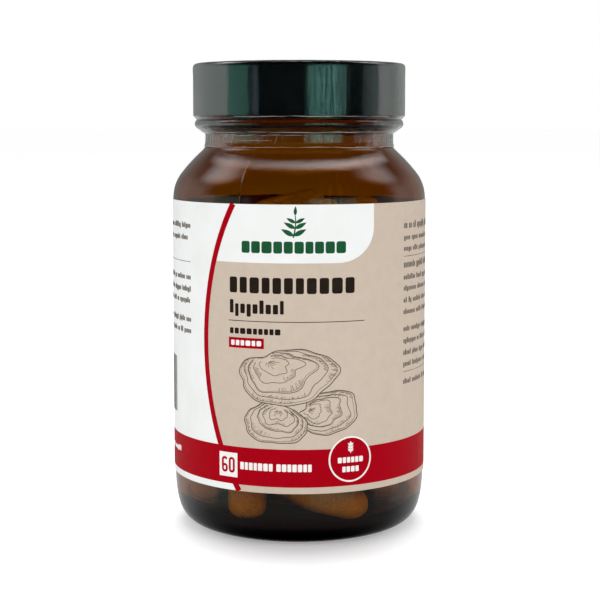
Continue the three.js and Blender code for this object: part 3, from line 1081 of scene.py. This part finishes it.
def print_fungi(rng):
    """Three bracket fungi, the near ones hiding what lies behind them."""
    sepia = printing_ink("ink_sepia", "6a6056", "585046")
    upper = Fungus((-2.5, 37.0), 10.6, 5.9, 5, (-0.36, 0.6), 0.6)
    left = Fungus((-5.1, 27.0), 6.8, 4.4, -6, (0.08, 0.68), 2.6)
    right = Fungus((6.3, 29.2), 6.8, 4.5, 14, (-0.6, 0.42), 4.9)
    ordered = [upper, left, right]
    shapes = []
    for depth, fungus in enumerate(ordered):
        for points, width in fungus.strokes(rng):
            pairs = zip(ribbon(points, width), points[1:])
            shapes += [
                quad for quad, (s, z) in pairs
                if not any(front.covers(s, z) for front in ordered[:depth])
            ]
    print_ink("print_fungi", shapes, 2, sepia)


def make_label():
    rng = random.Random(11)
    make_paper(coated_paper())
    red = print_fields()
    print_emblem(rng)
    black, headings = print_headings(rng)
    print_ink("print_black", headings, 2, black)
    grey = printing_ink("ink_grey", "7c7269", "6d645b")
    print_ink("print_small_text", small_text(rng), 2, grey)
    print_white(red, rng)
    print_fungi(rng)


# ---- capsules

def capsule_mesh(name, middle, axis):
    """Two shells along an axis: the cap half's rim, a locking ring in the cap half and round ends."""
    half = CAPSULE_L / 2
    step_z = CAPSULE_BODY_L - half
    ring_z = step_z + LOCK_RING_UP
    profile = [
        *arc(0, CAPSULE_BODY_R - half, CAPSULE_BODY_R, -90, 0, 8),
        (CAPSULE_BODY_R, step_z - 0.4),
        (CAPSULE_BODY_R, step_z),
        (CAPSULE_CAP_R - CAPSULE_RIM / 2, step_z),
        (CAPSULE_CAP_R, step_z + CAPSULE_RIM),
        (CAPSULE_CAP_R, ring_z - LOCK_RING_HALF),
        (CAPSULE_CAP_R - LOCK_RING_DEPTH, ring_z),
        (CAPSULE_CAP_R, ring_z + LOCK_RING_HALF),
        *arc(0, half - CAPSULE_CAP_R, CAPSULE_CAP_R, 0, 90, 8),
    ]
    mesh = turned_mesh(name, profile, even_angles(28))
    turn = Vector((0, 0, 1)).rotation_difference(axis)
    for vertex in mesh.vertices:
        vertex.co = turn @ vertex.co + middle * MM
    return mesh


def capsule_pose(node):
    """The middle of a capsule's CAD solid in millimetres, and its axis towards the wider half."""
    points = np.array([v.co for v in node.data.vertices]) / MM
    centred = points - points.mean(0)
    axis = np.linalg.svd(centred, full_matrices=False)[2][0]
    along = centred @ axis
    middle = points.mean(0) + axis * (along.max() + along.min()) / 2
    along = (points - middle) @ axis
    out = np.linalg.norm(points - middle - np.outer(along, axis), axis=1)
    if out[along > 2].max() < out[along < -2].max():
        axis = -axis
    return Vector(middle), Vector(axis)


class Rod:
    """A capsule while it settles: a middle, an axis and round ends."""

    RADIUS = CAPSULE_CAP_R + CAPSULE_GAP / 2
    HALF = CAPSULE_L / 2 - CAPSULE_CAP_R
    TURN = CAPSULE_L ** 2 / 12

    def __init__(self, middle, axis, placed=False):
        self.middle, self.axis, self.placed = middle, axis, placed

    def push(self, along, shift):
        """Moves the point at that distance along by about the shift, as a shift and a turn."""
        ease = 1 + along ** 2 / self.TURN
        self.middle += shift / ease
        self.axis = (self.axis + shift * along / self.TURN / ease).normalized()


def part_rods(rod, other):
    """Pushes a moving rod off another one."""
    between = rod.middle - other.middle
    if between.length > 2 * (Rod.HALF + Rod.RADIUS):
        return
    cosine = rod.axis.dot(other.axis)
    on_rod, on_other = rod.axis.dot(between), other.axis.dot(between)
    skew = 1 - cosine ** 2
    first = (cosine * on_other - on_rod) / skew if skew > 1e-4 else -on_rod / 2
    first = max(-Rod.HALF, min(Rod.HALF, first))
    second = max(-Rod.HALF, min(Rod.HALF, cosine * first + on_other))
    first = max(-Rod.HALF, min(Rod.HALF, cosine * second - on_rod))
    apart = between + rod.axis * first - other.axis * second
    overlap = 2 * Rod.RADIUS - apart.length
    if overlap > 0:
        share = 1.0 if other.placed else 0.5
        apart.normalize()
        rod.push(first, apart * overlap * share)
        if not other.placed:
            other.push(second, -apart * overlap * share)


def keep_in_wall(rod):
    """Pushes both ends of a rod inside the glass."""
    inner_r = BODY_R - WALL - CAPSULE_GAP
    for along in (-Rod.HALF, Rod.HALF):
        point = rod.middle + rod.axis * along
        over = math.hypot(point.x, point.y) + Rod.RADIUS - inner_r
        if over > 0:
            rod.push(along, Vector((-point.x, -point.y, 0)).normalized() * over)


# The last capsules: how far out they start, how far over the heap and over each other, the rounds of
# sinking and of coming to rest, and how far they sink in the first round and at least.
START_R, START_UP, START_STEP = 11, 12, 3
SINKING, RESTING = 900, 150
SINK, LEAST_SINK = 0.25, 0.01


def settle_last_capsules(placed, count):
    """Drops the last capsules on the heap, one layer, and lets them come to rest."""
    rng = random.Random(5)
    moving = []
    top = max(rod.middle.z for rod in placed)
    for i in range(count):
        around_it, lean = 2 * math.pi * (i + rng.random() * 0.5) / count, rng.uniform(-0.3, 0.3)
        up = top + START_UP + START_STEP * i
        spot = Vector((START_R * math.cos(around_it), START_R * math.sin(around_it), up))
        turn = rng.uniform(0, math.pi)
        moving.append(Rod(spot, Vector((math.cos(turn), math.sin(turn), lean)).normalized()))
    for i in range(SINKING + RESTING):
        drop = SINK * (1 - i / SINKING) + LEAST_SINK if i < SINKING else 0.0
        for k, rod in enumerate(moving):
            rod.middle.z -= drop
            for other in placed:
                part_rods(rod, other)
            for other in moving[:k]:
                part_rods(rod, other)
            keep_in_wall(rod)
    return moving


def make_capsules():
    shell = capsule_shell()
    names = sorted(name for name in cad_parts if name.startswith("capsule_"))
    placed = []
    for name in names:
        middle, axis = capsule_pose(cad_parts[name])
        placed.append(Rod(middle, axis, placed=True))
        mesh = capsule_mesh(name + "_mesh", middle, axis)
        add_piece(name + "_shell", mesh, shell, "capsule_shell", name)
    last = settle_last_capsules(placed, CAPSULE_TOTAL - len(names))
    for i, rod in enumerate(last, len(names) + 1):
        mesh = capsule_mesh(f"capsule_{i}_mesh", rod.middle, rod.axis)
        add_piece(f"capsule_{i}_shell", mesh, shell, "capsule_shell")


# ---- stage

def add_camera():
    """Close, just under the cap's height, looking slightly down."""
    aside, distance, eye_z, down, long_lens = 0.2, 340, 90, 5.59, 90.4
    data = bpy.data.cameras.new("camera")
    data.lens = long_lens
    data.sensor_width = 36
    data.shift_y = -0.05
    data.clip_start, data.clip_end = 0.01, 20
    camera = bpy.data.objects.new("camera", data)
    camera.location = Vector((aside, -distance, eye_z)) * MM
    camera.rotation_euler = (math.radians(90 - down), 0, 0)
    bpy.context.scene.collection.objects.link(camera)
    bpy.context.scene.camera = camera


def add_overhead_softbox():
    """A wide soft light overhead, for the matt surfaces. The gloss shows the room instead."""
    side, height, back, radiance = 0.8, 1.1, 0.45, 4.3
    data = bpy.data.lights.new("overhead_softbox", "AREA")
    data.size = side
    data.energy = radiance * math.pi * side ** 2
    light = bpy.data.objects.new("overhead_softbox", data)
    light.location = (0, back, height)
    light.visible_camera = light.visible_glossy = light.visible_transmission = False
    bpy.context.scene.collection.objects.link(light)


def add_disc(name, radius, below, look, *unseen):
    """A round sheet of floor that the kinds of ray in unseen pass straight through."""
    bm = bmesh.new()
    bmesh.ops.create_circle(bm, cap_ends=True, segments=64, radius=radius * MM)
    mesh = mesh_from(bm, name, smooth=False)
    mesh.materials.append(look.material)
    disc = bpy.data.objects.new(name, mesh)
    disc.location = (0, 0, -below * MM)
    for kind in unseen:
        setattr(disc, "visible_" + kind, False)
    bpy.context.scene.collection.objects.link(disc)


def add_floor():
    """A white floor. The glass mirrors the dim room under it instead, as over a dark table."""
    look = Look("studio_floor", Roughness=0.9, Specular_IOR_Level=0.0, Emission_Color=WHITE)
    look.mottle(look.noise(60), "f4f4f4", "f6f6f6")
    # The glow is weaker in an oval round the foot, which leaves a soft shadow there.
    away = look.length(look.vector("MULTIPLY_ADD", look.place, SHADOW_SHAPE, Vector(SHADOW_SHIFT) * MM))
    glow = look.scaled(away, [r * MM for r in SHADOW_R], FLOOR_GLOW)
    look.link(glow, look.shader["Emission Strength"])
    add_disc("studio_floor", FLOOR_R, FLOOR_DROP, look, "glossy", "transmission")


def add_shade_under():
    """The shaded floor under the bottle, as seen through its base. The white floor hides it otherwise."""
    look = Look("shaded_floor", Roughness=0.9, Specular_IOR_Level=0.0)
    look.mottle(look.noise(8), "1a1613", "221d19")
    add_disc("shaded_floor", SHADE_R, SHADE_DROP, look, "camera", "diffuse", "glossy", "shadow")


class Sky(Nodes):
    """The world's shader, built from formulas of the direction looked in."""

    def __init__(self):
        world = bpy.data.worlds.new("studio")
        bpy.context.scene.world = world
        world.use_nodes = True
        world.cycles.sampling_method = "NONE"
        super().__init__(world.node_tree)
        self.nodes.clear()
        self.direction = self.node("TexCoord", "Generated", {})
        axes = self.node("SeparateXYZ", "X", {"Vector": self.direction}).node
        self.right, self.back, self.up = axes.outputs
        self.ray = self.nodes.new("ShaderNodeLightPath").outputs

    def lamp(self, middle, reach, radiance):
        """A soft lamp: brightest towards its middle, nothing past its reach along each axis."""
        off = self.vector("DIVIDE", self.vector("SUBTRACT", self.direction, middle), reach)
        return self.product(self.fade(self.length(off), 1.0, 0.15), radiance)

    def strip(self, place, width, radiance):
        """A curved strip overhead that shows as a level band on a round shoulder, stronger to the right."""
        height = self.math("MAXIMUM", self.up, 0.05)
        level = self.math("DIVIDE", self.math("SUBTRACT", 1.0, self.back), self.math("POWER", height, 2.0))
        off = self.math("ABSOLUTE", self.math("SUBTRACT", level, place))
        across = self.product(self.fade(self.right, -1.1, 0.5), self.fade(self.right, 0.66, 0.42))
        return self.product(self.fade(off, width, 0.0), self.fade(self.up, 0.5, 0.68), across, radiance)


# The room round the bottle, by the bearing in degrees from the camera's side: a grey wall on the left
# and behind, a green-grey strip, the dark behind the camera, and the same again on the right.
ROOM = (
    (-180, (0.22, 0.23, 0.22)),
    (-150, (0.32, 0.34, 0.33)),
    (-115, (0.62, 0.68, 0.66)),
    (-84, (0.92, 1.02, 0.99)),
    (-81, (0.26, 0.62, 0.52)),
    (-57, (0.20, 0.52, 0.44)),
    (-53, (0.01, 0.01, 0.02)),
    (-50, (0.25, 0.34, 0.42)),
    (-46, (0.20, 0.27, 0.34)),
    (-43, (0.01, 0.01, 0.02)),
    (6, (0.01, 0.01, 0.02)),
    (12, (0.24, 0.62, 0.55)),
    (45, (0.26, 0.60, 0.55)),
    (56, (0.01, 0.01, 0.02)),
    (70, (0.02, 0.03, 0.04)),
    (74, (0.16, 0.20, 0.22)),
    (84, (0.26, 0.32, 0.33)),
    (92, (0.30, 0.37, 0.39)),
    (96, (0.76, 0.82, 0.80)),
    (104, (0.80, 0.84, 0.82)),
    (120, (0.50, 0.53, 0.51)),
    (150, (0.40, 0.42, 0.39)),
    (180, (0.22, 0.23, 0.22)),
)


# A pleated curtain in that room: its middle, its half width and where it starts to fade, as bearings,
# the number of pleats in a full turn and how much brighter it is.
CURTAIN, CURTAIN_EDGE, CURTAIN_FADE = 31, 26, 18
CURTAIN_PLEATS = 140.0
CURTAIN_GAIN = 2.4


def curtain(sky, turn):
    """How much brighter the room is because of the curtain: 1 outside it, and pleated inside."""
    place = sky.product(turn, CURTAIN_PLEATS)
    pleats = {"W": place, "Scale": 1.0, "Detail": 4.0}
    pleats = sky.node("TexNoise", "Fac", pleats, noise_dimensions="1D")
    pleats = sky.product(sky.fade(pleats, 0.34, 0.62), CURTAIN_GAIN)
    off = sky.math("ABSOLUTE", sky.math("SUBTRACT", turn, 0.5 + CURTAIN / 360))
    hung = sky.fade(off, CURTAIN_EDGE / 360, CURTAIN_FADE / 360)
    return sky.math("ADD", sky.product(hung, sky.math("SUBTRACT", pleats, 1.0)), 1.0)


def room_walls(sky):
    """The walls of the room, with the light on the floor behind it and on the table in front."""
    bearing = sky.math("ARCTAN2", sky.right, sky.product(sky.back, -1.0))
    turn = sky.math("ADD", sky.math("DIVIDE", bearing, 2 * math.pi), 0.5)
    walls = sky.ramp(turn, [(degrees / 360 + 0.5, (*colour, 1)) for degrees, colour in ROOM])
    low = sky.fade(sky.up, -0.5, -0.1)
    high_back = sky.product(sky.fade(sky.up, 0.7, 0.25), sky.fade(sky.back, -0.1, 0.3))
    high = sky.math("MAXIMUM", sky.fade(sky.up, 0.25, 0.1), high_back)
    level = sky.product(low, high, curtain(sky, turn))
    ground = sky.product(sky.fade(sky.back, 0.0, 0.6), sky.fade(sky.up, -0.02, -0.25),
                         sky.fade(sky.up, -0.9, -0.3), GROUND_LIGHT)
    # Only what the outside of the glass mirrors shows the table. Light through the glass doesn't.
    mirrored = sky.math("LESS_THAN", sky.ray["Transmission Depth"], 0.5)
    table = sky.product(sky.fade(sky.up, -0.06, -0.16), sky.fade(sky.up, -1.0, -0.4), mirrored, TABLE_LIGHT)
    return sky.vector("ADD", sky.vector("MULTIPLY", walls, level), sky.math("ADD", ground, table))


# The place, the reach and the radiance of the strip and the lamps.
STRIP = (1.14, 0.14, 4.6)
LEFT_LAMP = ((-0.68, 0.22, 0.68), (0.38, 0.42, 0.34), 2.4)
RIGHT_LAMP = ((0.68, 0.22, 0.68), (0.36, 0.4, 0.34), 1.8)
# The soft fill: its level, and what is added towards the back and upwards.
FILL, FILL_BACK, FILL_UP = 0.66, -0.5, -0.35
# What the fill is multiplied by inside the bottle, at the first bounce and at later ones. Light goes in
# and out through the amber glass there and loses most of its green and nearly all of its blue.
FIRST_BOUNCE = (2.9, 3.6, 1.6, 1)
LATER_BOUNCE = (0.4, 0.48, 0.4, 1)


def soft_fill(sky):
    """The light on matt surfaces, which reach the world only after a diffuse bounce."""
    fill = sky.math("ADD", sky.product(sky.back, FILL_BACK), sky.product(sky.up, FILL_UP))
    fill = sky.math("ADD", fill, FILL)
    inside = sky.math("GREATER_THAN", sky.ray["Transmission Depth"], 2.5)
    first = sky.math("LESS_THAN", sky.ray["Diffuse Depth"], 1.5)
    gain = sky.mix(inside, WHITE, sky.mix(first, LATER_BOUNCE, FIRST_BOUNCE))
    return sky.vector("MULTIPLY", gain, fill)


def add_surroundings():
    """A white studio to the camera, a dim room to the gloss and a broad soft fill to the rest."""
    sky = Sky()
    room = room_walls(sky)
    for light in (sky.strip(*STRIP), sky.lamp(*LEFT_LAMP), sky.lamp(*RIGHT_LAMP)):
        room = sky.vector("ADD", room, light)
    matt = sky.math("GREATER_THAN", sky.ray["Diffuse Depth"], 0.5)
    seen = sky.mix(sky.ray["Is Camera Ray"], sky.mix(matt, room, soft_fill(sky)), WHITE)
    studio = sky.node("Background", "Background", {"Color": seen})
    sky.node("OutputWorld", None, {"Surface": studio})


def set_picture():
    scene = bpy.context.scene
    scene.view_settings.view_transform = "Standard"
    scene.cycles.max_bounces = 24
    scene.cycles.transmission_bounces = 24
    scene.cycles.glossy_bounces = 8


make_bottle()
make_cap()
make_liner()
make_shrink_band()
make_creases()
make_label()
make_capsules()
add_floor()
add_shade_under()
add_surroundings()
add_overhead_softbox()
add_camera()
set_picture()
